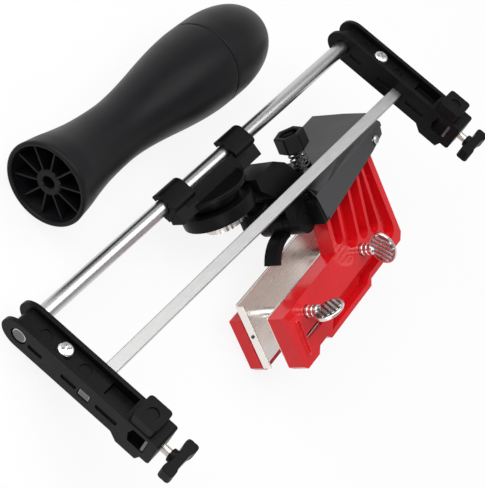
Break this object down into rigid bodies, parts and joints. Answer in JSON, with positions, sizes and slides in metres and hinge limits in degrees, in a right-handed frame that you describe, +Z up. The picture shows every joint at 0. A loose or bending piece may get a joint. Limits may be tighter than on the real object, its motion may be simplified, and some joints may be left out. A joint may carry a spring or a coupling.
{
  "type": "chainsaw filing guide",
  "caption": "Bar-mounted filing guide for sharpening a chainsaw chain, with a rod-guided file frame on a turning, tilting arm and clamp, and its separate file handle",
  "frame": {"origin": "Bottom centre of the box round everything, on the surface that the guide and its handle lie on", "axes": "+Z up; +X along the clamp's jaws from their near end to their far end, close to the guide rod's direction; +Y from the jaws' lower edge toward the rod and the handle"},
  "size_m": [0.2634, 0.1574, 0.0796],
  "materials": {
    "red_enamel": "gloss enamel",
    "dark_grey": "matte dark grey coating",
    "black_plastic": "satin moulded",
    "handle_black": "fine moulded grain",
    "bright_chrome": "polished plating",
    "plate_steel": "bright zinc",
    "bar_steel": "satin, drawn",
    "spring_steel": "bright wire"
  },
  "bodies": {
    "clamp": {"front_jaw": "red_enamel", "front_chain_plate": "plate_steel", "scale_plate": "dark_grey", "skirt_rivet": "plate_steel", "hinge_block": "black_plastic", "barrel_pin": "plate_steel", "height_spring": "spring_steel"},
    "rear_jaw": {"rear_jaw": "red_enamel", "rear_chain_plate": "plate_steel"},
    "near_thumb_screw": {"near_thumb_screw": "bright_chrome"},
    "far_thumb_screw": {"far_thumb_screw": "bright_chrome"},
    "pawl": {"chain_pawl": "black_plastic"},
    "arm": {"arm": "black_plastic"},
    "height_knob": {"height_knob": "black_plastic"},
    "lock_knob": {"lock_knob": "black_plastic"},
    "slider": {"slider_body": "black_plastic", "pivot_bolt": "plate_steel"},
    "pivot_nut": {"pivot_nut": "plate_steel", "pivot_washer": "plate_steel"},
    "guide_rod": {"guide_rod": "bright_chrome"},
    "file_frame": {"flat_bar": "bar_steel", "near_bracket": "black_plastic", "far_bracket": "black_plastic", "near_screw": "bright_chrome", "far_screw": "bright_chrome"},
    "near_knob": {"near_knob": "black_plastic"},
    "near_file_pad": {"near_file_pad": "plate_steel"},
    "far_knob": {"far_knob": "black_plastic"},
    "far_file_pad": {"far_file_pad": "plate_steel"},
    "handle": {"handle_body": "handle_black", "handle_cap": "handle_black"}
  },
  "joints": [
    {"name": "rear_jaw_slide", "type": "slide", "parent": "clamp", "child": "rear_jaw", "axis": [-0.0274, -0.2352, 0.9716], "range_m": [-0.002, 0.0105]},
    {"name": "near_thumb_turn", "type": "hinge", "parent": "clamp", "child": "near_thumb_screw", "pos_m": [-0.00488, -0.05867, 0.03402], "axis": [0.0274, 0.2352, -0.9716], "range_deg": [-725, 3785]},
    {"name": "far_thumb_turn", "type": "hinge", "parent": "clamp", "child": "far_thumb_screw", "pos_m": [0.04942, -0.0612, 0.03494], "axis": [0.0274, 0.2352, -0.9716], "range_deg": [-725, 3785]},
    {"name": "pawl_swing", "type": "hinge", "parent": "clamp", "child": "pawl", "pos_m": [0.02602, -0.0299, 0.04185], "axis": [0.0274, 0.2352, -0.9716], "range_deg": [-14, 25]},
    {"name": "arm_rock", "type": "hinge", "parent": "clamp", "child": "arm", "pos_m": [0.02602, -0.0299, 0.04185], "axis": [0.0274, 0.2352, -0.9716], "range_deg": [-4.5, 1.5], "deforming": ["height_spring"]},
    {"name": "height_turn", "type": "hinge", "parent": "clamp", "child": "height_knob", "pos_m": [0.04766, -0.07592, 0.01918], "axis": [-0.0066, 0.972, 0.2351], "range_deg": [-600, 200]},
    {"name": "lock_turn", "type": "hinge", "parent": "arm", "child": "lock_knob", "pos_m": [0.01149, -0.01579, 0.02479], "axis": [-0.0066, 0.972, 0.2351], "range_deg": [-360, 360]},
    {"name": "turntable_turn", "type": "hinge", "parent": "arm", "child": "slider", "pos_m": [-0.0009, 0.01717, 0.02514], "axis": [-0.0066, 0.972, 0.2351], "range_deg": [-115, 1]},
    {"name": "pivot_nut_turn", "type": "hinge", "parent": "slider", "child": "pivot_nut", "pos_m": [-0.00077, -0.00227, 0.02043], "axis": [-0.0066, 0.972, 0.2351], "range_deg": [-360, 360]},
    {"name": "rod_slide", "type": "slide", "parent": "slider", "child": "guide_rod", "axis": [0.991, -0.025, 0.1313], "range_m": [-0.005, 0.06]},
    {"name": "frame_roll", "type": "hinge", "parent": "guide_rod", "child": "file_frame", "pos_m": [0.00182, 0.01753, 0.02373], "axis": [0.991, -0.025, 0.1313], "range_deg": [-80, 1]},
    {"name": "near_pad_slide", "type": "slide", "parent": "file_frame", "child": "near_file_pad", "axis": [0.0775, 0.9077, -0.4124], "range_m": [0, 0.0035]},
    {"name": "near_knob_turn", "type": "hinge", "parent": "file_frame", "child": "near_knob", "pos_m": [-0.12, -0.04366, 0.03662], "axis": [0.0775, 0.9077, -0.4124], "range_deg": [-5, 1805]},
    {"name": "far_pad_slide", "type": "slide", "parent": "file_frame", "child": "far_file_pad", "axis": [0.0775, 0.9077, -0.4124], "range_m": [0, 0.0035]},
    {"name": "far_knob_turn", "type": "hinge", "parent": "file_frame", "child": "far_knob", "pos_m": [0.11884, -0.04969, 0.06825], "axis": [0.0775, 0.9077, -0.4124], "range_deg": [-5, 1805]},
    {"name": "handle_shift", "type": "slide", "parent": "clamp", "child": "handle", "axis": [-0.9979, 0.0628, -0.0139], "range_m": [0, 0.03]}
  ],
  "couplings": [
    {"joint": "near_thumb_turn", "follows": "rear_jaw_slide", "rad_per_m": 6283.2},
    {"joint": "far_thumb_turn", "follows": "rear_jaw_slide", "rad_per_m": 6283.2},
    {"joint": "height_turn", "follows": "arm_rock", "ratio": 131.95},
    {"joint": "near_knob_turn", "follows": "near_pad_slide", "rad_per_m": 8976},
    {"joint": "far_knob_turn", "follows": "far_pad_slide", "rad_per_m": 8976}
  ]
}
